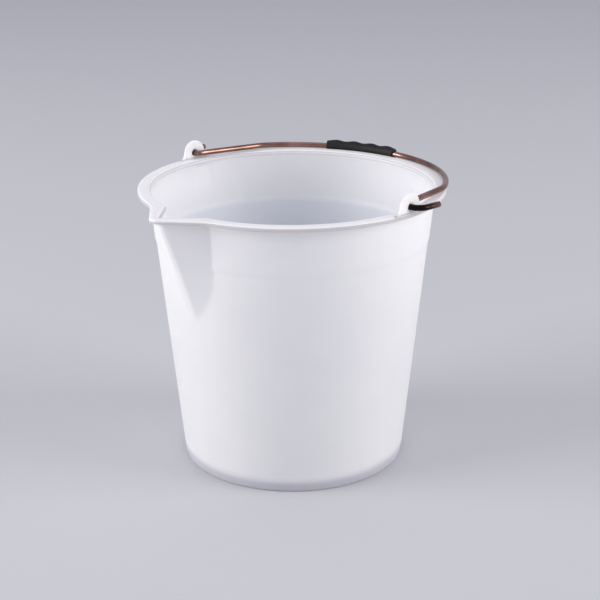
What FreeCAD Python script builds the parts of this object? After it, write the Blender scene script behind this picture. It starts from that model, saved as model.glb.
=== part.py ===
import FreeCAD, Part
import math
import os

# Pouring bucket with a wire bail and a slid-on hand grip, in millimetres.
# +Z is up from the standing plane, +X runs along the bail's pivots and the spout points to -Y.
# The origin is on the bucket's axis, in the standing plane, and the bail lies folded back to +Y.
# The pivots sit a little behind the axis, so the hanging bucket tips gently towards its spout.

V = FreeCAD.Vector

# Bucket wall
height = 287.0              # standing plane to the top of the rim
rim_radius = 155.0
rim_width = 11.1            # how far the flange stands out from the wall
rim_depth = 4.6             # thickness of the flange
wall = 2.0
foot_radius = 115.5         # outside of the wall, at the foot
shoulder_drop = 53.0        # from the rim down to the small step in the wall
shoulder_step = 0.9
rim_inner_round = 3.0
rim_edge_round = 1.2

# Foot and floor
foot_height = 6.0           # recess under the floor
foot_width = 3.2
foot_round = 1.4
floor_thickness = 2.6
floor_round = 6.0

# Spout
spout_drop = 108.5          # from the rim down to where the spout grows out of the wall
spout_overhang = 32.3       # the ridge's distance out from the wall, at the rim
spout_half_width = 34.0     # of the V, where it meets the wall under the rim
spout_depth = 37.4          # of the V, from its tip back to that half-width
spout_foot_half = 40.3      # the same two sizes at the foot, where the V lies inside the wall
spout_foot_depth = 11.8
spout_foot_rise = 0.5       # the ridge stands this far out from the wall at its foot
spout_tip_round = 6.0
spout_foot_round = 12.0
lip_width = 5.8             # how far the flange stands out from the spout's tip
lip_tip_round = 10.0
lip_root_half = 41.7        # half-width of the flange where it leaves the rim circle
lip_ease = 2.2

# Bail wire and the ears it hooks into
wire_radius = 3.0
hole_clearance = 1.0        # round the wire, in the ear's hole
hole_sill = 1.7             # from the rim up to the hole
ear_thickness = 3.8
ear_inset = 3.2             # from the rim's edge in to the ear's inner face
pivot_back = 2.6            # from the bucket's axis, away from the spout
ear_wall = 9.3              # round the hole
ear_foot_half = 21.0
ear_flush = 0.1             # the ear's curved outer face lies this far inside the rim's edge
pad_half_width = 11.8       # shallow sunk pad in the wall, below each ear
pad_drop = 32.0
pad_depth = 0.5
leg_clearance = 2.5         # between a leg and the ear's inner face
hook_play = 10.9            # sideways room for the ear in the hook
hook_radius = 6.0           # bend between a leg and its hook
tail_radius = 11.5          # bend between the hook and its tail
tail_length = 28.5
bail_shift = -2.0           # the bail has slid this far along its pivots
rest_gap = 0.4              # between the folded wire and the rim where it crosses it
crown_clearance = 1.0       # between the grip and the rim's edge at the crown
arc_half_angle = 58.5       # half the arc, in degrees
shoulder_radius = 50.0
leg_splay = 11.5            # degrees between a leg and the plane square to the pivots

# Grip
grip_length = 82.5
grip_place = 17.0           # degrees from the middle of the arc, towards -X
grip_clearance = 0.25       # round the wire
grip_skin = 1.35            # wall on the side that faces the pivots
grip_wall = 2.25            # wall on the outer side, in the grooves
grip_side_wall = 2.65       # wall above and below, in the grooves
grip_ridge = 1.8            # how much the ridges stand out on the outer side
grip_side_ridge = 1.1
grip_ridges = 4

# Sizes that follow from those above
top_radius = rim_radius - rim_width
pivot_hole_radius = wire_radius + hole_clearance
pivot_rise = pivot_hole_radius + hole_sill
ear_radius = pivot_hole_radius + ear_wall
ear_inner = rim_radius - ear_inset
leg_foot_x = ear_inner - leg_clearance - wire_radius
hook_gap = ear_thickness + 2 * wire_radius + hook_play
grip_bore = wire_radius + grip_clearance
grip_thin = grip_bore + grip_skin
bail_top = rim_radius + grip_thin + crown_clearance - pivot_back

NAMES = ("bucket_body", "bail_wire", "grip")


def closed_face(parts):
    """A face from a list of lines and arcs that join end to end."""
    return Part.Face(Part.Wire([p.toShape() for p in parts]))


def spun(points):
    """Revolve a profile about the Z axis. Each point is (radius, height, rounding)."""
    flat = [V(r, 0, z) for r, z, rounding in points]
    edges, starts, ends = [], [], []
    count = len(flat)
    for i in range(count):
        here, rounding = flat[i], points[i][2]
        back = (flat[i - 1] - here).normalize()
        ahead = (flat[(i + 1) % count] - here).normalize()
        if rounding <= 0:
            starts.append(here)
            ends.append((here, None))
            continue
        half = back.getAngle(ahead) / 2
        reach = rounding / math.tan(half)
        middle = (back + ahead).normalize()
        centre = here + middle * (rounding / math.sin(half))
        starts.append(here + back * reach)
        ends.append((here + ahead * reach, centre - middle * rounding))
    for i in range(count):
        end, through = ends[i]
        if through is not None:
            edges.append(Part.Arc(starts[i], through, end))
        if (starts[(i + 1) % count] - end).Length > 1e-6:
            edges.append(Part.LineSegment(end, starts[(i + 1) % count]))
    return closed_face(edges).revolve(V(0, 0, 0), V(0, 0, 1), 360)


def wall_radius(z):
    """Outside of the plain wall at a height, with the small step at the shoulder."""
    slope = (top_radius - shoulder_step - foot_radius) / (height - rim_depth)
    radius = foot_radius + slope * z
    return radius + (shoulder_step if z > height - shoulder_drop else 0.0)


# ---- bucket ----
shoulder = height - shoulder_drop
floor_top = foot_height + floor_thickness
spout_reach = top_radius + spout_overhang
spout_foot_reach = wall_radius(height - spout_drop) + spout_foot_rise
lip_reach = spout_reach + lip_width


def outer_solid():
    return spun([
        (0, 0, 0),
        (foot_radius, 0, foot_round),
        (wall_radius(shoulder - 1.5), shoulder - 1.5, 0),
        (wall_radius(shoulder + 1.5), shoulder + 1.5, 0),
        (top_radius, height - rim_depth, 0),
        (rim_radius, height - rim_depth, 0.8),
        (rim_radius, height, rim_edge_round),
        (0, height, 0),
    ])


def inner_solid():
    flare = top_radius - wall
    return spun([
        (0, floor_top, 0),
        (wall_radius(floor_top) - wall, floor_top, floor_round),
        (wall_radius(shoulder - 1.5) - wall, shoulder - 1.5, 0),
        (wall_radius(shoulder + 1.5) - wall, shoulder + 1.5, 0),
        (flare, height - rim_inner_round, 0),
        (flare + rim_inner_round * 0.35, height - rim_inner_round * 0.35, 0),
        (flare + rim_inner_round, height, 0),
        (flare + rim_inner_round, height + 20, 0),
        (0, height + 20, 0),
    ])


def spout_section(level, inset):
    """A level of the spout, from 0 at its foot to 1 at the rim: a V with a rounded tip, to -Y."""
    z = height - spout_drop * (1 - level)
    reach = spout_foot_reach + (spout_reach - spout_foot_reach) * level
    rounding = spout_foot_round + (spout_tip_round - spout_foot_round) * level
    half = spout_foot_half + (spout_half_width - spout_foot_half) * level
    depth = spout_foot_depth + (spout_depth - spout_foot_depth) * level
    side, tip = V(half, depth - reach, 0), V(0, rounding - reach, 0)
    gap = side - tip
    lean = math.atan2(gap.x, gap.y) + math.acos(rounding / gap.Length)
    outward = V(math.sin(lean), math.cos(lean), 0)
    touch, foot = tip + outward * (rounding - inset), side - outward * inset
    nose = V(0, inset - reach, 0)
    back = V(foot.x, -reach * 0.45, 0)

    def at(p, sign=1):
        return V(sign * p.x, p.y, z)

    return Part.Wire([e.toShape() for e in (
        Part.LineSegment(at(back), at(foot)),
        Part.LineSegment(at(foot), at(touch)),
        Part.Arc(at(touch), at(nose), at(touch, -1)),
        Part.LineSegment(at(touch, -1), at(foot, -1)),
        Part.LineSegment(at(foot, -1), at(back, -1)),
        Part.LineSegment(at(back, -1), at(back)))])


def spout_outside():
    return Part.makeLoft([spout_section(-0.06, 0), spout_section(1, 0)], True, True)


def spout_inside():
    """The space in the spout, eased outwards at the lip and carried on above the rim."""
    ease = lip_ease / spout_drop
    channel = Part.makeLoft([spout_section(-0.06, wall), spout_section(1, wall)], True, True)
    mouth = Part.makeLoft([spout_section(1 - 2 * ease, wall + lip_ease * 0.8),
                           spout_section(1, wall - lip_ease * 0.8)], True, True)
    above = Part.Face(spout_section(1, wall - lip_ease * 0.8)).extrude(V(0, 0, 20))
    return channel.fuse([mouth, above])


def spout_lip():
    """The rim flange carried out round the spout."""
    side = V(lip_root_half, -math.sqrt(rim_radius ** 2 - lip_root_half ** 2), 0)
    tip = V(0, -lip_reach + lip_tip_round, 0)
    gap = side - tip
    lean = math.atan2(gap.x, gap.y) + math.acos(lip_tip_round / gap.Length)
    touch = tip + V(math.sin(lean), math.cos(lean), 0) * lip_tip_round
    z = height - rim_depth
    back = V(side.x * 0.8, -rim_radius * 0.8, 0)
    outline = [
        Part.LineSegment(V(back.x, back.y, z), V(side.x, side.y, z)),
        Part.LineSegment(V(side.x, side.y, z), V(touch.x, touch.y, z)),
        Part.Arc(V(touch.x, touch.y, z), V(0, -lip_reach, z), V(-touch.x, touch.y, z)),
        Part.LineSegment(V(-touch.x, touch.y, z), V(-side.x, side.y, z)),
        Part.LineSegment(V(-side.x, side.y, z), V(-back.x, back.y, z)),
        Part.LineSegment(V(-back.x, back.y, z), V(back.x, back.y, z)),
    ]
    return closed_face(outline).extrude(V(0, 0, rim_depth))


def ear(side):
    """One upright ear on the rim, with its hollow corners and the pivot hole."""
    low, pivot = height - rim_depth / 2, height + pivot_rise
    foot = ear_foot_half
    corner = (foot ** 2 + pivot_rise ** 2 - ear_radius ** 2) / (2 * (ear_radius + pivot_rise))
    to_corner = V(0, foot, corner - pivot_rise).normalize()
    join = V(0, 0, pivot) + to_corner * ear_radius
    turn = to_corner.y * 0.6, to_corner.z * 0.6 - 0.8
    middle = V(0, foot, height + corner) + V(0, -turn[0], turn[1]).normalize() * corner
    x = ear_inner

    def at(p, sign=1):
        return V(x, sign * p.y, p.z)

    outline = [
        Part.LineSegment(V(x, -foot, low), V(x, foot, low)),
        Part.LineSegment(V(x, foot, low), V(x, foot, height)),
        Part.Arc(V(x, foot, height), at(middle), at(join)),
        Part.Arc(at(join), V(x, 0, pivot + ear_radius), at(join, -1)),
        Part.Arc(at(join, -1), at(middle, -1), V(x, -foot, height)),
        Part.LineSegment(V(x, -foot, height), V(x, -foot, low)),
    ]
    plate = closed_face(outline).extrude(V(ear_thickness, 0, 0))
    hole = Part.makeCylinder(pivot_hole_radius, 30, V(ear_inner - 10, 0, pivot), V(1, 0, 0))
    plate = plate.cut(hole)
    plate.translate(V(0, pivot_back, 0))
    plate = plate.common(Part.makeCylinder(rim_radius - ear_flush, 2 * height))
    return plate if side > 0 else plate.mirror(V(0, 0, 0), V(1, 0, 0))


def sunk_pad(side):
    """The shallow pad sunk into the inside of the wall below an ear."""
    deep = wall_radius(height - 8) - wall + pad_depth
    low = height - pad_drop
    slope = wall_radius(height - 8) - wall_radius(low)
    outline = [V(deep - 6, 0, height - 5), V(deep, 0, height - 5),
               V(deep - slope, 0, low), V(deep - slope - 6, 0, low)]
    face = Part.Face(Part.makePolygon(outline + outline[:1]))
    pad = face.extrude(V(0, 2 * pad_half_width, 0))
    pad.translate(V(0, pivot_back - pad_half_width, 0))
    return pad if side > 0 else pad.mirror(V(0, 0, 0), V(1, 0, 0))


def bucket_body():
    solid = outer_solid().fuse([spout_outside(), spout_lip(), ear(1), ear(-1)])
    space = inner_solid().fuse(spout_inside())
    recess = Part.makeCone(
        foot_radius - foot_width, foot_radius - foot_width - 0.4, foot_height)
    body = solid.cut(space).cut(recess)
    body = body.cut(sunk_pad(1)).cut(sunk_pad(-1))
    return body.removeSplitter()


# ---- bail ----
def on_circle(centre, radius, angle):
    a = math.radians(angle)
    return centre + V(radius * math.cos(a), radius * math.sin(a), 0)


def arc_for_legs():
    """Radius of the bail's arc that brings the legs down to their place beside the ears."""
    half, lean = math.radians(arc_half_angle), math.radians(leg_splay)
    bend = shoulder_radius * (math.cos(lean) - math.sin(half))
    drop = bail_top - shoulder_radius * (math.cos(half) - math.sin(lean))
    side = leg_foot_x - bend - math.tan(lean) * drop
    return side / (math.sin(half) - math.tan(lean) * (1 - math.cos(half)))


arc_radius = arc_for_legs()
arc_centre = V(0, bail_top - arc_radius, 0)
arc_end = 90 - arc_half_angle
leg_end = leg_splay
shoulder_centre = on_circle(arc_centre, arc_radius - shoulder_radius, arc_end)
shoulder_foot = on_circle(shoulder_centre, shoulder_radius, leg_end)
leg_foot = V(leg_foot_x, 0, 0)


def folded_slope():
    """Degrees that the folded bail slopes down, so the wire just clears the rim it crosses."""
    low, high = leg_end, arc_end
    for _ in range(60):
        angle = (low + high) / 2
        crossing = on_circle(shoulder_centre, shoulder_radius, angle)
        if (crossing + V(-abs(bail_shift), pivot_back, 0)).Length < rim_radius:
            low = angle
        else:
            high = angle
    return math.degrees(math.asin((pivot_rise - wire_radius - rest_gap) / crossing.y))


bail_slope = folded_slope()


def to_rest(shape):
    """Place a shape drawn in the bail's plane, with the pivot axis on X, in its rest pose."""
    shape.rotate(V(0, 0, 0), V(1, 0, 0), -bail_slope)
    shape.translate(V(bail_shift, pivot_back, height + pivot_rise))
    return shape


def half_path():
    """Middle line of half the bail, from its crown to the end of the hook's tail."""
    crown = on_circle(arc_centre, arc_radius, 90)
    arc_low = on_circle(arc_centre, arc_radius, arc_end)
    bend = hook_radius * math.tan(math.radians(90 - leg_splay) / 2)
    leg_way = (shoulder_foot - leg_foot).normalize()
    leg_start = leg_foot + leg_way * bend
    hook_inner = leg_foot + V(bend, 0, 0)
    bend_centre = hook_inner + V(0, hook_radius, 0)
    tail = leg_foot.x + hook_gap
    hook_outer = V(tail - tail_radius, 0, 0)
    tail_centre = V(tail - tail_radius, tail_radius, 0)
    return [
        Part.Arc(crown, on_circle(arc_centre, arc_radius, (90 + arc_end) / 2), arc_low),
        Part.Arc(arc_low, on_circle(shoulder_centre, shoulder_radius, (arc_end + leg_end) / 2),
                 shoulder_foot),
        Part.LineSegment(shoulder_foot, leg_start),
        Part.Arc(leg_start, on_circle(bend_centre, hook_radius, 230 - leg_splay / 2), hook_inner),
        Part.LineSegment(hook_inner, hook_outer),
        Part.Arc(hook_outer, on_circle(tail_centre, tail_radius, 315), V(tail, tail_radius, 0)),
        Part.LineSegment(V(tail, tail_radius, 0), V(tail, tail_length, 0)),
    ]


def bail_wire():
    path = Part.Wire([e.toShape() for e in half_path()])
    start = on_circle(arc_centre, arc_radius, 90)
    ring = Part.Wire([Part.Circle(start, V(1, 0, 0), wire_radius).toShape()])
    half = path.makePipeShell([ring], True, False)
    other = half.mirror(V(0, 0, 0), V(1, 0, 0))
    return to_rest(half.fuse(other).removeSplitter())


# ---- grip ----
def grip_section(angle, outer, tall):
    """One level of the grip: an oval square to the wire, thin on the side facing the pivots."""
    a = math.radians(angle)
    out = V(math.cos(a), math.sin(a), 0)
    shift, half = (outer - grip_thin) / 2, (outer + grip_thin) / 2
    middle = arc_centre + out * (arc_radius + shift)
    up = V(0, 0, 1)
    if half >= tall:
        oval = Part.Ellipse(middle + out * half, middle + up * tall, middle)
    else:
        oval = Part.Ellipse(middle + up * tall, middle + out * half, middle)
    return Part.Wire([oval.toShape()])


def grip():
    grip_angle = math.degrees(grip_length / arc_radius)
    start = 90 + grip_place - grip_angle / 2
    sections = []
    steps = grip_ridges * 4
    for i in range(steps + 1):
        swell = 0.5 - 0.5 * math.cos(2 * math.pi * i / 4)
        outer = grip_bore + grip_wall + grip_ridge * swell
        tall = grip_bore + grip_side_wall + grip_side_ridge * swell
        sections.append(grip_section(start + grip_angle * i / steps, outer, tall))
    body = Part.makeLoft(sections, True, False)
    ring = Part.Face(Part.Wire([Part.Circle(
        on_circle(arc_centre, arc_radius, start - 2),
        on_circle(V(0, 0, 0), 1, start + 88), grip_bore).toShape()]))
    bore = ring.revolve(arc_centre, V(0, 0, 1), grip_angle + 4)
    return to_rest(body.cut(bore))


os.makedirs("parts", exist_ok=True)
for name, make in zip(NAMES, (bucket_body, bail_wire, grip)):
    shape = make()
    shape.exportStep("parts/" + name + ".step")
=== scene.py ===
"""A moulded pouring bucket with a copper-coated wire bail and a black hand grip, in metres."""
import math

import bmesh
import bpy
from mathutils import Matrix, Vector


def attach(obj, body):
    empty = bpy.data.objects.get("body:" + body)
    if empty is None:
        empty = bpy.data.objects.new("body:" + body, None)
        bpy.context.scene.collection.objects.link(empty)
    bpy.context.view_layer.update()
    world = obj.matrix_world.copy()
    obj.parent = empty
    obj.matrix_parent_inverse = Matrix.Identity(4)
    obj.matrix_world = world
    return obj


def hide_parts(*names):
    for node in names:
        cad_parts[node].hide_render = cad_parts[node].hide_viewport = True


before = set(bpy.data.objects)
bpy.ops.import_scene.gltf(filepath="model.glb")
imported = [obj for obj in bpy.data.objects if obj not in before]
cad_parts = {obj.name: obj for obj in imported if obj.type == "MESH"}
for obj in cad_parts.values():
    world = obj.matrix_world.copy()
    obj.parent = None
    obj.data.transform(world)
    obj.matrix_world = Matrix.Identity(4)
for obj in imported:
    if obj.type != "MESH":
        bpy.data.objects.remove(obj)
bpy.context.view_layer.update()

MM = 0.001

# Bucket wall, in millimetres
HEIGHT = 287.0
RIM_RADIUS = 155.0
RIM_WIDTH = 11.1
RIM_DEPTH = 4.6
WALL = 2.0
FOOT_RADIUS = 115.5
FOOT_HEIGHT = 6.0
FOOT_BAND = 17.0
FOOT_WIDTH = 3.2
FLOOR_THICKNESS = 2.6
FLOOR_ROUND = 6.0
SHOULDER_DROP = 53.0
SHOULDER_STEP = 0.9
TOP_RADIUS = RIM_RADIUS - RIM_WIDTH
FLOOR_TOP = FOOT_HEIGHT + FLOOR_THICKNESS

# Spout
SPOUT_DROP = 108.5
SPOUT_REACH = TOP_RADIUS + 32.3
SPOUT_HALF_WIDTH = 34.0
SPOUT_DEPTH = 37.4
SPOUT_FOOT_HALF = 40.3
SPOUT_FOOT_DEPTH = 11.8
SPOUT_TIP_ROUND = 6.0
SPOUT_FOOT_ROUND = 12.0
LIP_REACH = 182.0
LIP_TIP_ROUND = 10.0
LIP_ROOT_HALF = 41.7
LIP_LIFT = 1.5

# Ears and the pads under them
PIVOT_RISE = 5.7
PIVOT_BACK = 2.6
EAR_INNER = 151.8
EAR_THICKNESS = 3.8
EAR_RADIUS = 13.3
EAR_FOOT_HALF = 21.0
EAR_FLUSH = 0.15
PIVOT_HOLE_RADIUS = 4.0
PAD_HALF_WIDTH = 11.8
PAD_DROP = 32.0
PAD_DEPTH = 0.5

# Bail and grip
WIRE_RADIUS = 3.0
BAIL_SHIFT = -2.0
BAIL_SLOPE = 1.5012
ARC_RADIUS = 147.027
ARC_CENTRE = 10.973
ARC_HALF_ANGLE = 58.5
SHOULDER_RADIUS = 50.0
LEG_SPLAY = 11.5
LEG_FOOT = 146.3
HOOK_RADIUS = 6.0
HOOK_GAP = 20.7
TAIL_RADIUS = 11.5
TAIL_LENGTH = 28.5
HOOK_DARK_FROM = 147.5
HOOK_DARK_FULL = 153.0
TAIL_DARK_FULL = 16.0
TAIL_DARK_END = 30.0
GRIP_PLACE = 17.0
GRIP_LENGTH = 82.5
GRIP_BORE = 3.25
GRIP_THIN = 4.6
GRIP_RIDGES = 4


# ---- node helpers ----
class Tree:
    """Builds one Geometry Nodes tree from left to right."""

    def __init__(self, name):
        self.tree = bpy.data.node_groups.new(name, "GeometryNodeTree")
        for way in ("INPUT", "OUTPUT"):
            self.tree.interface.new_socket(
                "Geometry", in_out=way, socket_type="NodeSocketGeometry")
        self.start = self.tree.nodes.new("NodeGroupInput")
        self.end = self.tree.nodes.new("NodeGroupOutput")
        self.values = {}

    def size(self, name, value, kind="NodeSocketFloat"):
        """A named input, and its value for the modifier."""
        socket = self.tree.interface.new_socket(name, in_out="INPUT", socket_type=kind)
        self.values[socket.identifier] = value
        return self.start.outputs[name]

    def add(self, kind, links=(), **settings):
        node = self.tree.nodes.new(kind)
        for key, value in settings.items():
            setattr(node, key, value)
        for socket, value in dict(links).items():
            self.put(node.inputs[socket], value)
        return node

    def put(self, socket, value):
        if isinstance(value, bpy.types.NodeSocket):
            self.tree.links.new(value, socket)
        else:
            socket.default_value = value

    def math(self, operation, *values):
        node = self.add("ShaderNodeMath", operation=operation)
        for socket, value in zip(node.inputs, values):
            self.put(socket, value)
        return node.outputs[0]

    def attribute(self, name, geometry, index):
        """A named value of one point of the section, looked up by its number."""
        named = self.add("GeometryNodeInputNamedAttribute", {"Name": name}, data_type="FLOAT")
        sample = self.add("GeometryNodeSampleIndex", {"Geometry": geometry, "Index": index},
                          data_type="FLOAT", domain="POINT")
        self.tree.links.new(named.outputs["Attribute"], sample.inputs["Value"])
        return sample.outputs[0]

    def finish(self, geometry, material):
        """End in Realize Instances and Set Material."""
        real = self.add("GeometryNodeRealizeInstances", {"Geometry": geometry})
        paint = self.add("GeometryNodeSetMaterial", {"Geometry": real.outputs[0]})
        self.put(paint.inputs["Material"], self.size("Material", material, "NodeSocketMaterial"))
        self.tree.links.new(paint.outputs[0], self.end.inputs["Geometry"])


def from_nodes(name, source, made, material):
    """Run a node tree on a mesh and keep the result as a plain, smooth mesh."""
    carrier = bpy.data.objects.new(name + "_source", source)
    bpy.context.scene.collection.objects.link(carrier)
    modifier = carrier.modifiers.new("Shape", "NODES")
    modifier.node_group = made.tree
    for identifier, value in made.values.items():
        modifier[identifier] = value
    carrier.update_tag()
    seen = carrier.evaluated_get(bpy.context.evaluated_depsgraph_get())
    mesh = bpy.data.meshes.new_from_object(seen)
    mesh.name = name
    bpy.data.objects.remove(carrier)
    mesh.materials.clear()
    mesh.materials.append(material)
    mesh.shade_smooth()
    piece = bpy.data.objects.new(name, mesh)
    bpy.context.scene.collection.objects.link(piece)
    return piece


def section_mesh(name, rows, keys):
    """A mesh of loose points, one for each row of the section, with its values as attributes."""
    mesh = bpy.data.meshes.new(name)
    mesh.from_pydata([(0, 0, 0)] * len(rows), [], [])
    for key in keys:
        layer = mesh.attributes.new(key, "FLOAT", "POINT")
        layer.data.foreach_set("value", [row.get(key, 0.0) for row in rows])
    return mesh


# ---- materials ----
def material(name):
    made = bpy.data.materials.new(name)
    made.use_nodes = True
    nodes, links = made.node_tree.nodes, made.node_tree.links
    shader = nodes["Principled BSDF"]
    place = nodes.new("ShaderNodeTexCoord").outputs["Object"]
    return made, nodes, links, shader, place


def noise(nodes, links, place, scale, detail=3.0, roughness=0.5):
    node = nodes.new("ShaderNodeTexNoise")
    node.inputs["Scale"].default_value = scale
    node.inputs["Detail"].default_value = detail
    node.inputs["Roughness"].default_value = roughness
    links.new(place, node.inputs["Vector"])
    return node.outputs["Fac"]


def stretched(nodes, links, place, scale):
    node = nodes.new("ShaderNodeMapping")
    node.inputs["Scale"].default_value = scale
    links.new(place, node.inputs["Vector"])
    return node.outputs["Vector"]


def ramp(nodes, links, value, *stops):
    node = nodes.new("ShaderNodeValToRGB")
    node.color_ramp.elements[0].position, node.color_ramp.elements[0].color = stops[0]
    node.color_ramp.elements[1].position, node.color_ramp.elements[1].color = stops[-1]
    for position, colour in stops[1:-1]:
        node.color_ramp.elements.new(position).color = colour
    links.new(value, node.inputs["Fac"])
    return node.outputs["Color"]


def spread(nodes, links, value, low, high):
    """Map a 0 to 1 pattern onto a range."""
    node = nodes.new("ShaderNodeMapRange")
    node.inputs["To Min"].default_value = low
    node.inputs["To Max"].default_value = high
    links.new(value, node.inputs["Value"])
    return node.outputs["Result"]


def raised(nodes, links, shader, *layers):
    """Chain bump layers, each (height pattern, distance in metres, strength)."""
    normal = None
    for height, distance, strength in layers:
        node = nodes.new("ShaderNodeBump")
        node.inputs["Distance"].default_value = distance
        node.inputs["Strength"].default_value = strength
        links.new(height, node.inputs["Height"])
        if normal is not None:
            links.new(normal, node.inputs["Normal"])
        normal = node.outputs["Normal"]
    links.new(normal, shader.inputs["Normal"])


def patterns(nodes, links):
    """Three ways to work out where a tint goes: a sum, a step between two places, and a blend."""

    def set_or_link(socket, value):
        if isinstance(value, (float, tuple)):
            socket.default_value = value
        else:
            links.new(value, socket)

    def sum_of(operation, *values):
        node = nodes.new("ShaderNodeMath")
        node.operation = operation
        for socket, value in zip(node.inputs, values):
            set_or_link(socket, value)
        return node.outputs[0]

    def between(value, start, end, ease="SMOOTHSTEP"):
        """0 at the start, 1 at the end."""
        node = nodes.new("ShaderNodeMapRange")
        node.interpolation_type = ease
        node.inputs["From Min"].default_value = start
        node.inputs["From Max"].default_value = end
        links.new(value, node.inputs["Value"])
        return node.outputs["Result"]

    def blend(share, first, second):
        node = nodes.new("ShaderNodeMix")
        node.data_type = "RGBA"
        links.new(share, node.inputs["Factor"])
        set_or_link(node.inputs[6], first)
        set_or_link(node.inputs[7], second)
        return node.outputs[2]

    return sum_of, between, blend


def milky_polyethylene():
    """Natural polyethylene: milky and softly translucent, with faint flow marks and scuffs."""
    made, nodes, links, shader, place = material("milky_polyethylene")
    parted = nodes.new("ShaderNodeSeparateXYZ")
    links.new(place, parted.inputs[0])
    x, y, z = parted.outputs

    sum_of, between, blend = patterns(nodes, links)
    clouds = noise(nodes, links, place, 9.0, 2.0)
    tint = ramp(nodes, links, clouds,
                (0.35, (0.845, 0.83, 0.85, 1)), (0.65, (0.875, 0.865, 0.872, 1)))
    # painted shade: the inside is painted a little darker and bluer, and more so below the
    # shoulder, standing in for the bluish shade inside the bucket
    slope = (TOP_RADIUS - SHOULDER_STEP - FOOT_RADIUS) / (HEIGHT - RIM_DEPTH)
    across = sum_of("SQRT", sum_of("ADD", sum_of("MULTIPLY", x, x), sum_of("MULTIPLY", y, y)))
    out = sum_of("SUBTRACT", across, sum_of("MULTIPLY", z, slope))
    inside = between(out, (FOOT_RADIUS - 0.8) * MM, (FOOT_RADIUS - WALL + 0.5) * MM)
    deep_shade_mask = between(z, (HEIGHT - SHOULDER_DROP + 1.0) * MM, (HEIGHT - SHOULDER_DROP - 4.0) * MM)
    painted_inside_shade = blend(inside, tint, (0.80, 0.81, 0.845, 1))
    # painted shade, darker and bluer, on the inside below the shoulder
    tint = blend(sum_of("MULTIPLY", inside, deep_shade_mask), painted_inside_shade, (0.72, 0.752, 0.81, 1))
    # painted shade: the foot band is painted darker, standing in for the shade from the hollow
    # under the floor
    tint = blend(between(z, FOOT_HEIGHT * MM, FOOT_BAND * MM), (0.52, 0.515, 0.565, 1), tint)
    # painted shade: the outside of the rim's edge is painted a little darker, to dim the light it
    # catches
    edge = sum_of("MULTIPLY", between(z, (HEIGHT - RIM_DEPTH - 0.5) * MM,
                                      (HEIGHT - RIM_DEPTH + 0.3) * MM),
                  between(z, (HEIGHT - 0.4) * MM, (HEIGHT - 1.2) * MM))
    edge = sum_of("MULTIPLY", edge, sum_of("SUBTRACT", 1.0, inside))
    # painted shade on the rim's outer edge
    tint = blend(edge, tint, (0.56, 0.55, 0.54, 1))
    links.new(tint, shader.inputs["Base Color"])
    shader.inputs["Subsurface Weight"].default_value = 0.7
    shader.inputs["Subsurface Scale"].default_value = 0.010
    shader.inputs["Subsurface Radius"].default_value = (1.0, 0.95, 1.0)
    shader.inputs["Specular IOR Level"].default_value = 0.45
    shader.inputs["IOR"].default_value = 1.5
    scuffs = noise(nodes, links, stretched(nodes, links, place, (1, 1, 0.25)), 160.0, 4.0, 0.7)
    links.new(spread(nodes, links, scuffs, 0.3, 0.46), shader.inputs["Roughness"])
    flow = noise(nodes, links, stretched(nodes, links, place, (1, 1, 0.15)), 26.0, 2.0)
    grain = noise(nodes, links, place, 1400.0, 2.0)
    raised(nodes, links, shader, (flow, 0.0004, 0.25), (grain, 0.00003, 0.4))
    return made


def coppered_wire():
    """Drawn steel wire with a thin copper-brown coating, rubbed pinker in places."""
    made, nodes, links, shader, place = material("coppered_wire")
    patches = noise(nodes, links, place, 24.0, 3.0, 0.5)
    tint = ramp(nodes, links, patches,
                (0.30, (0.170, 0.088, 0.068, 1)), (0.52, (0.290, 0.160, 0.128, 1)),
                (0.75, (0.460, 0.290, 0.245, 1)))
    # painted dark reflection: the hook ends are painted near black, past the legs and short of the
    # tails' tips, standing in for the dark surroundings they reflect
    sum_of, between, blend = patterns(nodes, links)
    parted = nodes.new("ShaderNodeSeparateXYZ")
    links.new(place, parted.inputs[0])
    out = sum_of("ABSOLUTE", parted.outputs["X"])
    past_leg = between(out, HOOK_DARK_FROM * MM, HOOK_DARK_FULL * MM, "LINEAR")
    short_of_tip = between(parted.outputs["Y"], TAIL_DARK_END * MM, TAIL_DARK_FULL * MM, "LINEAR")
    painted_dark_hooks = sum_of("MULTIPLY", past_leg, short_of_tip)
    # painted dark reflection on the hook ends
    tint = blend(painted_dark_hooks, tint, (0.020, 0.012, 0.010, 1))
    links.new(tint, shader.inputs["Base Color"])
    shader.inputs["Metallic"].default_value = 1.0
    links.new(spread(nodes, links, noise(nodes, links, place, 240.0, 3.0), 0.12, 0.26),
              shader.inputs["Roughness"])
    pits = noise(nodes, links, place, 700.0, 3.0)
    raised(nodes, links, shader, (pits, 0.00004, 0.4))
    return made


def moulded_black():
    """Black grip moulding with a fine spark-eroded grain."""
    made, nodes, links, shader, place = material("moulded_black")
    dust = noise(nodes, links, place, 70.0, 4.0, 0.65)
    tint = ramp(nodes, links, dust,
                (0.35, (0.0055, 0.0045, 0.0045, 1)), (0.75, (0.016, 0.013, 0.012, 1)))
    links.new(tint, shader.inputs["Base Color"])
    links.new(spread(nodes, links, dust, 0.5, 0.68), shader.inputs["Roughness"])
    shader.inputs["Specular IOR Level"].default_value = 0.3
    grain = noise(nodes, links, place, 1500.0, 3.0)
    raised(nodes, links, shader, (grain, 0.0001, 0.6))
    return made


def pale_floor():
    made, nodes, links, shader, place = material("pale_floor")
    shader.inputs["Base Color"].default_value = (0.56, 0.57, 0.595, 1)
    links.new(spread(nodes, links, noise(nodes, links, place, 3.0), 0.7, 0.85),
              shader.inputs["Roughness"])
    return made


# ---- bucket ----
def wall_radius(z):
    slope = (TOP_RADIUS - SHOULDER_STEP - FOOT_RADIUS) / (HEIGHT - RIM_DEPTH)
    share = min(1.0, max(0.0, (z - (HEIGHT - SHOULDER_DROP) + 4.0) / 8.0))
    share = share * share * (3 - 2 * share)
    return FOOT_RADIUS + slope * z + SHOULDER_STEP * share


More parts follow.
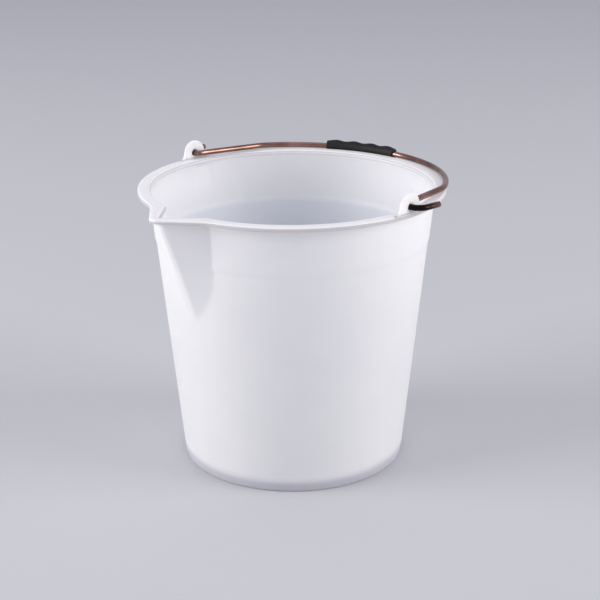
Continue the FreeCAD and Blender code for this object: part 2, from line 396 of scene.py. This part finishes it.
def beak(reach, rounding, half, depth, inset=0.0):
    """The polar rule of a V with a rounded tip: how far its flanks and tip lie from the axis."""
    tip = reach - rounding
    gap_x, gap_y = half, depth - reach + tip
    lean = math.atan2(gap_x, gap_y) + math.acos(rounding / math.hypot(gap_x, gap_y))
    out_x, out_y = math.sin(lean), math.cos(lean)
    touch_x, touch_y = out_x * (rounding - inset), out_y * (rounding - inset) - tip
    return {
        "flank": (half * out_x + (depth - reach) * out_y - inset) * MM,
        "lean": math.atan2(-out_y, out_x),
        "tip": tip * MM,
        "rounding": (rounding - inset) * MM,
        "touch": math.atan2(touch_x, -touch_y),
    }


def spout_level(z, inset):
    level = 1 - (HEIGHT - z) / SPOUT_DROP
    if level < -0.06:
        return None

    def mix(low, high):
        return low + (high - low) * level

    foot_reach = wall_radius(HEIGHT - SPOUT_DROP) + 0.5
    return beak(mix(foot_reach, SPOUT_REACH), mix(SPOUT_FOOT_ROUND, SPOUT_TIP_ROUND),
                mix(SPOUT_FOOT_HALF, SPOUT_HALF_WIDTH), mix(SPOUT_FOOT_DEPTH, SPOUT_DEPTH), inset)


def lip_level(inset):
    depth = LIP_REACH - math.sqrt(RIM_RADIUS ** 2 - LIP_ROOT_HALF ** 2)
    return beak(LIP_REACH, LIP_TIP_ROUND, LIP_ROOT_HALF, depth, inset)


def bucket_section():
    """The bucket's section, from the middle underneath, up the outside, over the rim and down."""
    rows = []

    def put(radius, z, rule=None, melt=1.4, pad=0.0, knuckle=0.0):
        lift = LIP_LIFT * min(1.0, max(0.0, (z - HEIGHT + 16) / 12))
        row = {"radius": radius * MM, "height": z * MM, "melt": melt * MM, "pad": pad,
               "lift": lift * MM, "knuckle": knuckle * MM}
        row.update(rule or {"flank": 0.0, "lean": 0.8, "tip": 0.0, "rounding": 0.0, "touch": 0.0})
        rows.append(row)

    def curve(centre_r, centre_z, radius, start, end, steps, rule=None):
        for i in range(steps + 1):
            a = math.radians(start + (end - start) * i / steps)
            put(centre_r + radius * math.cos(a), centre_z + radius * math.sin(a), rule)

    recess = FOOT_RADIUS - FOOT_WIDTH
    # underside of the floor and the foot ring
    for radius in (0, 12, 40, 75, 100, recess - 3, recess - 1.6):
        put(radius, FOOT_HEIGHT)
    curve(recess - 1.6, FOOT_HEIGHT - 1.0, 1.0, 90, 0, 4)
    put(recess - 0.4, 2.0)
    curve(recess + 0.5, 0.6, 0.6, 180, 270, 3)
    put(FOOT_RADIUS - 1.6, 0)
    curve(FOOT_RADIUS - 1.3, 1.4, 1.4, -90, -2, 6)
    # outside of the wall
    low, high = 3.0, HEIGHT - RIM_DEPTH
    steps = [low, 6, 12, 24, 48, 72, 96, 120, 140, 155, 165]
    steps += [HEIGHT - SPOUT_DROP - 8 + 4 * i for i in range(12)]
    shoulder = HEIGHT - SHOULDER_DROP
    steps += [shoulder - 6, shoulder - 4, shoulder - 2.7, shoulder - 1.3, shoulder,
              shoulder + 1.3, shoulder + 2.7, shoulder + 4, shoulder + 6]
    steps += [shoulder + 6 + (high - 2 - shoulder - 6) * i / 10 for i in range(1, 11)]
    for z in steps:
        put(wall_radius(z), z, spout_level(z, 0.0))
    put(wall_radius(high - 0.9), high - 0.9, spout_level(high - 0.9, 0.0))
    put(wall_radius(high) + 0.35, high - 0.25, spout_level(high, -0.35))
    put(wall_radius(high) + 1.0, high, spout_level(high, -1.0))
    # flange, its edge and its top
    edge = RIM_RADIUS
    for back in (6.0, 3.0, 1.6):
        put(edge - back, high, lip_level(back))
    for i in range(5):
        a = math.radians(-90 + 90 * i / 4)
        back = 0.8 - 0.8 * math.cos(a)
        put(edge - back, high + 0.8 + 0.8 * math.sin(a), lip_level(back), knuckle=0.8)
    put(edge, high + 2.0, lip_level(0.0), knuckle=1.0)
    for i in range(7):
        a = math.radians(90 * i / 6)
        back = 1.2 - 1.2 * math.cos(a)
        put(edge - back, HEIGHT - 1.2 + 1.2 * math.sin(a), lip_level(back), knuckle=0.8)
    put(edge - 2.0, HEIGHT, lip_level(2.0), knuckle=0.3)
    inner = TOP_RADIUS - WALL
    ease = 3.0
    for ahead in (1.4, 0.6):
        put(inner + ease + ahead, HEIGHT, spout_level(HEIGHT, WALL - ease - ahead + 0.8))
    for i in range(8):
        a = math.radians(90 + 90 * i / 7)
        out = ease + ease * math.cos(a)
        put(inner + out, HEIGHT - ease + ease * math.sin(a),
            spout_level(HEIGHT - ease + ease * math.sin(a), WALL - out * 0.75))
    # inside of the wall, with the pads below the ears
    pad_low = HEIGHT - PAD_DROP
    for z in sorted(set(steps[:-1] + [pad_low - 1.2, pad_low, pad_low + 1.2, HEIGHT - 7.2,
                                      HEIGHT - 6, HEIGHT - 5, HEIGHT - 4.2]), reverse=True):
        if z > FLOOR_TOP + FLOOR_ROUND + 1:
            pad = min(1.0, max(0.0, (z - pad_low) / 14)) if z <= HEIGHT - 6 else 0.0
            put(wall_radius(z) - WALL, z, spout_level(z, WALL), pad=pad)
    # floor
    corner = wall_radius(FLOOR_TOP + FLOOR_ROUND) - WALL - FLOOR_ROUND
    curve(corner, FLOOR_TOP + FLOOR_ROUND, FLOOR_ROUND, 0, -90, 8)
    for radius in (104, 90, 65, 35, 12, 0):
        put(radius, FLOOR_TOP)
    return rows


def bucket_tree(rows, plastic):
    """Turn the section round the axis, pushed out to the spout's V where that reaches further."""
    made = Tree("Turned bucket with a spout")
    turns = made.size("Turns", 520, "NodeSocketInt")
    count = made.size("Section points", len(rows), "NodeSocketInt")
    pad_half = made.size("Pad half width", PAD_HALF_WIDTH * MM)
    pad_depth = made.size("Pad depth", PAD_DEPTH * MM)
    grid = made.add("GeometryNodeMeshGrid", {"Size X": 1.0, "Size Y": 1.0, "Vertices Y": count})
    made.put(grid.inputs["Vertices X"], made.math("ADD", turns, 1.0))
    number = made.add("GeometryNodeInputIndex").outputs[0]
    column = made.math("FLOOR", made.math("DIVIDE", number, count))
    row = made.math("SUBTRACT", number, made.math("MULTIPLY", column, count))
    section = made.start.outputs["Geometry"]
    look = {key: made.attribute(key, section, row) for key in rows[0]}

    # side angle from the spout's middle, closer together near the spout
    half = made.math("DIVIDE", turns, 2.0)
    across = made.math("DIVIDE", made.math("SUBTRACT", column, half), half)
    cubed = made.math("POWER", made.math("ABSOLUTE", across), 3.0)
    swing = made.math("MULTIPLY", math.pi, made.math(
        "ADD", made.math("MULTIPLY", made.math("ABSOLUTE", across), 0.22),
        made.math("MULTIPLY", cubed, 0.78)))
    side = made.math("MULTIPLY", swing, made.math("SIGN", across))

    # flank of the V: flank / sin(lean + swing), falling away past its nearest point
    turned = made.math("ADD", look["lean"], swing)
    past = made.math("MAXIMUM", made.math("SUBTRACT", turned, math.pi / 2), 0.0)
    flank = made.math("DIVIDE", look["flank"],
                      made.math("SINE", made.math("MINIMUM", turned, math.pi / 2)))
    falling = made.math("MULTIPLY", made.math("MULTIPLY", past, past), 0.2)
    flank = made.math("SUBTRACT", flank, falling)
    # rounded tip
    sideways = made.math("MULTIPLY", look["tip"], made.math("SINE", swing))
    square = made.math("SUBTRACT", made.math("POWER", look["rounding"], 2.0),
                       made.math("POWER", sideways, 2.0))
    nose = made.math("ADD", made.math("MULTIPLY", look["tip"], made.math("COSINE", swing)),
                     made.math("SQRT", made.math("MAXIMUM", square, 0.0)))
    at_tip = made.math("LESS_THAN", swing, look["touch"])
    vee = made.math("ADD", made.math("MULTIPLY", nose, at_tip),
                    made.math("MULTIPLY", flank, made.math("SUBTRACT", 1.0, at_tip)))
    radius = made.math("SMOOTH_MAX", look["radius"], vee, look["melt"])
    has_vee = made.math("GREATER_THAN", look["flank"], 0.001)
    radius = made.math("ADD", made.math("MULTIPLY", radius, has_vee), made.math(
        "MULTIPLY", look["radius"], made.math("SUBTRACT", 1.0, has_vee)))

    # the pads sunk in the wall below the ears
    off_middle = made.math("ABSOLUTE", made.math(
        "ADD", made.math("MULTIPLY", radius, made.math("COSINE", swing)), PIVOT_BACK * MM))
    on_pad = made.add("ShaderNodeMapRange", {
        "Value": off_middle, "To Min": 1.0, "To Max": 0.0}, interpolation_type="SMOOTHSTEP")
    made.put(on_pad.inputs["From Min"], made.math("SUBTRACT", pad_half, 0.0012))
    made.put(on_pad.inputs["From Max"], made.math("ADD", pad_half, 0.0012))
    sunk = made.math("MULTIPLY", made.math("MULTIPLY", on_pad.outputs[0], look["pad"]), pad_depth)
    radius = made.math("ADD", radius, sunk)

    # a small knuckle where the lip leaves the rim, and the lip rises a little to its tip
    off_root = made.math("DIVIDE", made.math("SUBTRACT", swing, 0.272), 0.02)
    bump = made.math("EXPONENT", made.math(
        "MULTIPLY", made.math("MULTIPLY", off_root, off_root), -1.0))
    radius = made.math("ADD", radius, made.math("MULTIPLY", look["knuckle"], bump))
    off_tip = made.math("DIVIDE", swing, 0.27)
    share = made.math("MAXIMUM", made.math(
        "SUBTRACT", 1.0, made.math("MULTIPLY", off_tip, off_tip)), 0.0)
    lift = made.math("MULTIPLY", look["lift"], made.math("MULTIPLY", share, share))

    place = made.add("ShaderNodeCombineXYZ", {
        "X": made.math("MULTIPLY", radius, made.math("SINE", side)),
        "Y": made.math("MULTIPLY", made.math("MULTIPLY", radius, made.math("COSINE", side)), -1.0),
        "Z": made.math("ADD", look["height"], lift)})
    moved = made.add("GeometryNodeSetPosition", {
        "Geometry": grid.outputs["Mesh"], "Position": place.outputs[0]})
    closed = made.add("GeometryNodeMergeByDistance", {
        "Geometry": moved.outputs[0], "Distance": 0.00001})
    made.finish(closed.outputs[0], plastic)
    return made


def ear_mesh(side):
    """An ear: a flat plate with a hole and softened edges, standing on the rim."""
    corner = (EAR_FOOT_HALF ** 2 + PIVOT_RISE ** 2 - EAR_RADIUS ** 2) / (
        2 * (EAR_RADIUS + PIVOT_RISE))
    lean = math.atan2(corner - PIVOT_RISE, EAR_FOOT_HALF)
    outline = [(EAR_FOOT_HALF, -0.65)]
    for i in range(13):
        a = math.radians(-90) - (math.radians(90) - lean) * i / 12
        outline.append((EAR_FOOT_HALF + corner * math.cos(a), corner + corner * math.sin(a)))
    for i in range(1, 48):
        a = lean + (math.pi - 2 * lean) * i / 48
        outline.append((EAR_RADIUS * math.cos(a), PIVOT_RISE + EAR_RADIUS * math.sin(a)))
    outline += [(-y, z) for y, z in reversed(outline[:14])]
    curve = bpy.data.curves.new("ear", "CURVE")
    curve.dimensions = "2D"
    curve.fill_mode = "BOTH"
    soft = 0.7
    curve.extrude = (EAR_THICKNESS / 2 - soft) * MM
    curve.bevel_depth = soft * MM
    curve.bevel_resolution = 3
    curve.offset = -soft * MM
    hole = [(PIVOT_HOLE_RADIUS * math.cos(i * math.tau / 40),
             PIVOT_RISE + PIVOT_HOLE_RADIUS * math.sin(i * math.tau / 40)) for i in range(40)]
    for points in (outline, hole):
        spline = curve.splines.new("POLY")
        spline.points.add(len(points) - 1)
        spline.use_cyclic_u = True
        for point, (y, z) in zip(spline.points, points):
            point.co = (y * MM, z * MM, 0, 1)
    flat = bpy.data.objects.new("ear", curve)
    bpy.context.scene.collection.objects.link(flat)
    mesh = bpy.data.meshes.new_from_object(flat.evaluated_get(
        bpy.context.evaluated_depsgraph_get()))
    bpy.data.objects.remove(flat)
    for vertex in mesh.vertices:
        ahead, up, out = vertex.co
        y = ahead + PIVOT_BACK * MM
        edge = math.sqrt(((RIM_RADIUS - EAR_FLUSH) * MM) ** 2 - y * y) - EAR_INNER * MM
        share = out / (EAR_THICKNESS * MM) + 0.5
        vertex.co = (side * (EAR_INNER * MM + share * edge), y, up + HEIGHT * MM)
    return mesh


def bucket(plastic):
    rows = bucket_section()
    keys = list(rows[0])
    shell = from_nodes("bucket_body_shell", section_mesh("section", rows, keys),
                       bucket_tree(rows, plastic), plastic)
    parts = [shell]
    for side in (1, -1):
        mesh = ear_mesh(side)
        mesh.materials.clear()
        mesh.materials.append(plastic)
        ear = bpy.data.objects.new("ear", mesh)
        bpy.context.scene.collection.objects.link(ear)
        parts.append(ear)
    joined = join("moulded_bucket", parts)
    return joined


def join(name, parts):
    """Join meshes into the first, drop doubled points and point the faces outwards."""
    whole = bmesh.new()
    for part in parts:
        whole.from_mesh(part.data)
    bmesh.ops.remove_doubles(whole, verts=whole.verts, dist=1e-6)
    bmesh.ops.recalc_face_normals(whole, faces=whole.faces)
    mesh = parts[0].data
    whole.to_mesh(mesh)
    whole.free()
    for part in parts[1:]:
        bpy.data.objects.remove(part)
    mesh.shade_smooth()
    mesh.set_sharp_from_angle(angle=math.radians(50))
    parts[0].name = name
    return parts[0]


# ---- bail ----
def on_circle(x, y, radius, angle):
    a = math.radians(angle)
    return x + radius * math.cos(a), y + radius * math.sin(a)


def rest_matrix():
    return (Matrix.Translation(Vector((BAIL_SHIFT, PIVOT_BACK, HEIGHT + PIVOT_RISE)) * MM)
            @ Matrix.Rotation(math.radians(-BAIL_SLOPE), 4, "X") @ Matrix.Scale(MM, 4))


def bail_line():
    """Middle line of the wire in its own plane, one hook's tail to the other."""
    arc_end = 90 - ARC_HALF_ANGLE
    line = []

    def arc(x, y, radius, start, end, steps):
        line.extend(on_circle(x, y, radius, start + (end - start) * i / steps)
                    for i in range(steps + 1))

    bend = HOOK_RADIUS * math.tan(math.radians(90 - LEG_SPLAY) / 2)
    tail = LEG_FOOT + HOOK_GAP
    line.append((tail, TAIL_LENGTH))
    line.append((tail, TAIL_LENGTH * 0.6))
    arc(tail - TAIL_RADIUS, TAIL_RADIUS, TAIL_RADIUS, 0, -90, 16)
    arc(LEG_FOOT + bend, HOOK_RADIUS, HOOK_RADIUS, 270, 180 + LEG_SPLAY, 12)
    mid = ARC_RADIUS - SHOULDER_RADIUS
    sx, sy = on_circle(0, ARC_CENTRE, mid, arc_end)
    fx, fy = on_circle(sx, sy, SHOULDER_RADIUS, LEG_SPLAY)
    start = line[-1]
    for share in (0.25, 0.5, 0.75):
        line.append((start[0] + (fx - start[0]) * share, start[1] + (fy - start[1]) * share))
    arc(sx, sy, SHOULDER_RADIUS, LEG_SPLAY, arc_end, 10)
    arc(0, ARC_CENTRE, ARC_RADIUS, arc_end + 1.5, 90, 36)
    line += [(-x, y) for x, y in reversed(line[:-1])]
    return line


def wire_tree(steel):
    """Sweep a round section along the bent line and close its ends."""
    made = Tree("Wire along its bends")
    thick = made.size("Wire radius", WIRE_RADIUS - 0.02)
    sides = made.size("Sides", 32, "NodeSocketInt")
    path = made.add("GeometryNodeMeshToCurve", {"Mesh": made.start.outputs["Geometry"]})
    ring = made.add("GeometryNodeCurvePrimitiveCircle", {"Radius": thick, "Resolution": sides})
    swept = made.add("GeometryNodeCurveToMesh", {
        "Curve": path.outputs[0], "Profile Curve": ring.outputs["Curve"], "Fill Caps": True})
    made.finish(swept.outputs[0], steel)
    return made


def bail(steel):
    line = bail_line()
    source = bpy.data.meshes.new("bail_line")
    source.from_pydata([(x, y, 0) for x, y in line], [(i, i + 1) for i in range(len(line) - 1)], [])
    piece = from_nodes("bail_wire_shape", source, wire_tree(steel), steel)
    piece.data.transform(rest_matrix())
    edge = piece.modifiers.new("Cut ends", "BEVEL")
    edge.width = 0.0007
    edge.segments = 3
    edge.limit_method = "ANGLE"
    edge.angle_limit = math.radians(60)
    return applied(piece, "bent_bail")


def applied(piece, name):
    """Turn a piece and its live modifiers into one plain mesh."""
    seen = piece.evaluated_get(bpy.context.evaluated_depsgraph_get())
    mesh = bpy.data.meshes.new_from_object(seen)
    piece.modifiers.clear()
    piece.data = mesh
    piece.name = mesh.name = name
    mesh.shade_smooth()
    mesh.set_sharp_from_angle(angle=math.radians(50))
    return piece


# ---- grip ----
def grip_section():
    """The grip's length, there along its outside and back through its bore, as shares of it."""
    rows = []

    def put(along, size, bore=0.0):
        rows.append({"along": along, "full": size, "bore": bore})

    steps = 96
    for share, size in ((0.0, 0.80), (0.001, 0.90), (0.004, 0.96), (0.009, 1.0)):
        put(share, size)
    for i in range(2, steps - 1):
        put(i / steps, 1.0)
    for share, size in ((0.991, 1.0), (0.996, 0.96), (0.999, 0.90), (1.0, 0.80)):
        put(share, size)
    for i in range(17):
        put(1 - i / 16, 0.0, 1.0)
    return rows


def grip_tree(rows, rubber):
    """Bend a ridged oval sleeve along the wire's arc, with the bore left open."""
    made = Tree("Ridged sleeve on an arc")
    count = made.size("Section points", len(rows), "NodeSocketInt")
    around = made.size("Sides", 56, "NodeSocketInt")
    ridges = made.size("Ridges", float(GRIP_RIDGES))
    length = made.size("Length along the arc", GRIP_LENGTH / ARC_RADIUS)
    arc = made.size("Arc radius", ARC_RADIUS)
    bore = made.size("Bore radius", GRIP_BORE)
    thin = made.size("Thin side", GRIP_THIN - 0.02)
    outer = made.size("Outer side in the grooves", 5.48)
    outer_ridge = made.size("Ridge on the outer side", 1.8)
    tall = made.size("Height in the grooves", 5.88)
    tall_ridge = made.size("Ridge above and below", 1.1)
    grid = made.add("GeometryNodeMeshGrid", {"Size X": 1.0, "Size Y": 1.0})
    made.put(grid.inputs["Vertices X"], made.math("ADD", around, 1.0))
    made.put(grid.inputs["Vertices Y"], made.math("ADD", count, 1.0))
    number = made.add("GeometryNodeInputIndex").outputs[0]
    rows_round = made.math("ADD", count, 1.0)
    column = made.math("FLOOR", made.math("DIVIDE", number, rows_round))
    row = made.math("SUBTRACT", number, made.math("MULTIPLY", column, rows_round))
    row = made.math("MODULO", row, count)
    section = made.start.outputs["Geometry"]
    look = {key: made.attribute(key, section, row) for key in rows[0]}
    wave = made.math("COSINE", made.math("MULTIPLY", made.math(
        "MULTIPLY", look["along"], ridges), math.tau))
    swell = made.math("SUBTRACT", 0.5, made.math("MULTIPLY", wave, 0.5))
    in_bore = look["bore"]
    solid = made.math("SUBTRACT", 1.0, in_bore)

    def skin(low, ridge):
        """A size over the grooves and ridges outside, or the bore's radius inside."""
        full = made.math("ADD", low, made.math("MULTIPLY", ridge, swell)) if ridge else low
        drawn = made.math("ADD", bore, made.math(
            "MULTIPLY", made.math("SUBTRACT", full, bore), look["full"]))
        return made.math("ADD", made.math("MULTIPLY", drawn, solid),
                         made.math("MULTIPLY", bore, in_bore))

    out, back, up = skin(outer, outer_ridge), skin(thin, None), skin(tall, tall_ridge)
    turn = made.math("MULTIPLY", made.math("DIVIDE", column, around), math.tau)
    middle = made.math("MULTIPLY", made.math("SUBTRACT", out, back), 0.5)
    half = made.math("MULTIPLY", made.math("ADD", out, back), 0.5)
    reach = made.math("ADD", made.math("ADD", arc, middle),
                      made.math("MULTIPLY", half, made.math("COSINE", turn)))
    start = made.math("SUBTRACT", math.radians(90 + GRIP_PLACE), made.math("MULTIPLY", length, 0.5))
    angle = made.math("ADD", start, made.math("MULTIPLY", length, look["along"]))
    place = made.add("ShaderNodeCombineXYZ", {
        "X": made.math("MULTIPLY", reach, made.math("COSINE", angle)),
        "Y": made.math("ADD", ARC_CENTRE, made.math("MULTIPLY", reach, made.math("SINE", angle))),
        "Z": made.math("MULTIPLY", up, made.math("SINE", turn))})
    moved = made.add("GeometryNodeSetPosition", {
        "Geometry": grid.outputs["Mesh"], "Position": place.outputs[0]})
    closed = made.add("GeometryNodeMergeByDistance", {
        "Geometry": moved.outputs[0], "Distance": 0.002})
    made.finish(closed.outputs[0], rubber)
    return made


def grip(rubber):
    rows = grip_section()
    piece = from_nodes("grip_shape", section_mesh("grip_section", rows, list(rows[0])),
                       grip_tree(rows, rubber), rubber)
    piece.data.transform(rest_matrix())
    return join("ridged_grip", [piece])


# ---- the object ----
body = bucket(milky_polyethylene())
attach(body, "bucket")
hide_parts("bucket_body")

wire = bail(coppered_wire())
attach(wire, "bail")
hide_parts("bail_wire")

sleeve = grip(moulded_black())
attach(sleeve, "hand_grip")
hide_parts("grip")


# ---- floor, lights and camera ----
def floor():
    mesh = bpy.data.meshes.new("floor")
    wide = 14.0
    mesh.from_pydata([(-wide, -wide, 0), (wide, -wide, 0), (wide, wide, 0), (-wide, wide, 0)],
                     [], [(0, 1, 2, 3)])
    mesh.materials.append(pale_floor())
    made = bpy.data.objects.new("floor", mesh)
    bpy.context.scene.collection.objects.link(made)


TURN = math.radians(45.3)


def beside(right, ahead, up):
    """A place given from where the camera stands: to its right, towards it, and up."""
    return Vector((right * math.cos(TURN) + ahead * math.sin(TURN),
                   right * math.sin(TURN) - ahead * math.cos(TURN), up))


def softbox(name, place, aim, size, power, colour=(1, 1, 1)):
    light = bpy.data.lights.new(name, "AREA")
    light.shape = "RECTANGLE"
    light.size, light.size_y = size
    light.energy = power
    light.color = colour
    made = bpy.data.objects.new(name, light)
    made.location = place
    made.rotation_euler = (Vector(aim) - place).to_track_quat("-Z", "Y").to_euler()
    bpy.context.scene.collection.objects.link(made)


def studio():
    world = bpy.data.worlds.new("studio")
    world.use_nodes = True
    world.node_tree.nodes["Background"].inputs["Color"].default_value = (0.87, 0.87, 0.97, 1)
    world.node_tree.nodes["Background"].inputs["Strength"].default_value = 0.62
    bpy.context.scene.world = world
    softbox("left", beside(-3.56, 0.76, 1.45), (0, 0, 0.15), (2.4, 2.6), 110, (1.0, 0.975, 0.95))
    softbox("right", beside(3.52, 0.88, 1.35), (0, 0, 0.15), (2.2, 2.6), 90, (1.0, 0.975, 0.95))
    softbox("top", beside(-0.4, -0.6, 4.5), (0, 0, 0.1), (2.8, 2.8), 10)
    bpy.context.scene.view_settings.view_transform = "Standard"


def camera():
    distance, elevation = 8.7456 * RIM_RADIUS * MM, math.radians(14.988)
    pitch, yaw, roll = math.radians(19.954), math.radians(0.3276), math.radians(-0.2323)
    spin = Matrix.Rotation(TURN, 3, "Z")
    place = spin @ Vector((0, -distance * math.cos(elevation), distance * math.sin(elevation)))
    forward = Vector((math.sin(yaw) * math.cos(pitch), math.cos(yaw) * math.cos(pitch),
                      -math.sin(pitch)))
    right = forward.cross(Vector((0, 0, 1))).normalized()
    up = right.cross(forward)
    right, up = (math.cos(roll) * right + math.sin(roll) * up,
                 math.cos(roll) * up - math.sin(roll) * right)
    axes = Matrix((spin @ right, spin @ up, spin @ -forward)).transposed()
    lens = bpy.data.cameras.new("camera")
    lens.sensor_width = 36
    lens.lens = 80.37
    lens.clip_end = 50
    made = bpy.data.objects.new("camera", lens)
    made.matrix_world = Matrix.Translation(place + Vector((0, 0, HEIGHT * MM))) @ axes.to_4x4()
    bpy.context.scene.collection.objects.link(made)
    bpy.context.scene.camera = made


floor()
studio()
camera()
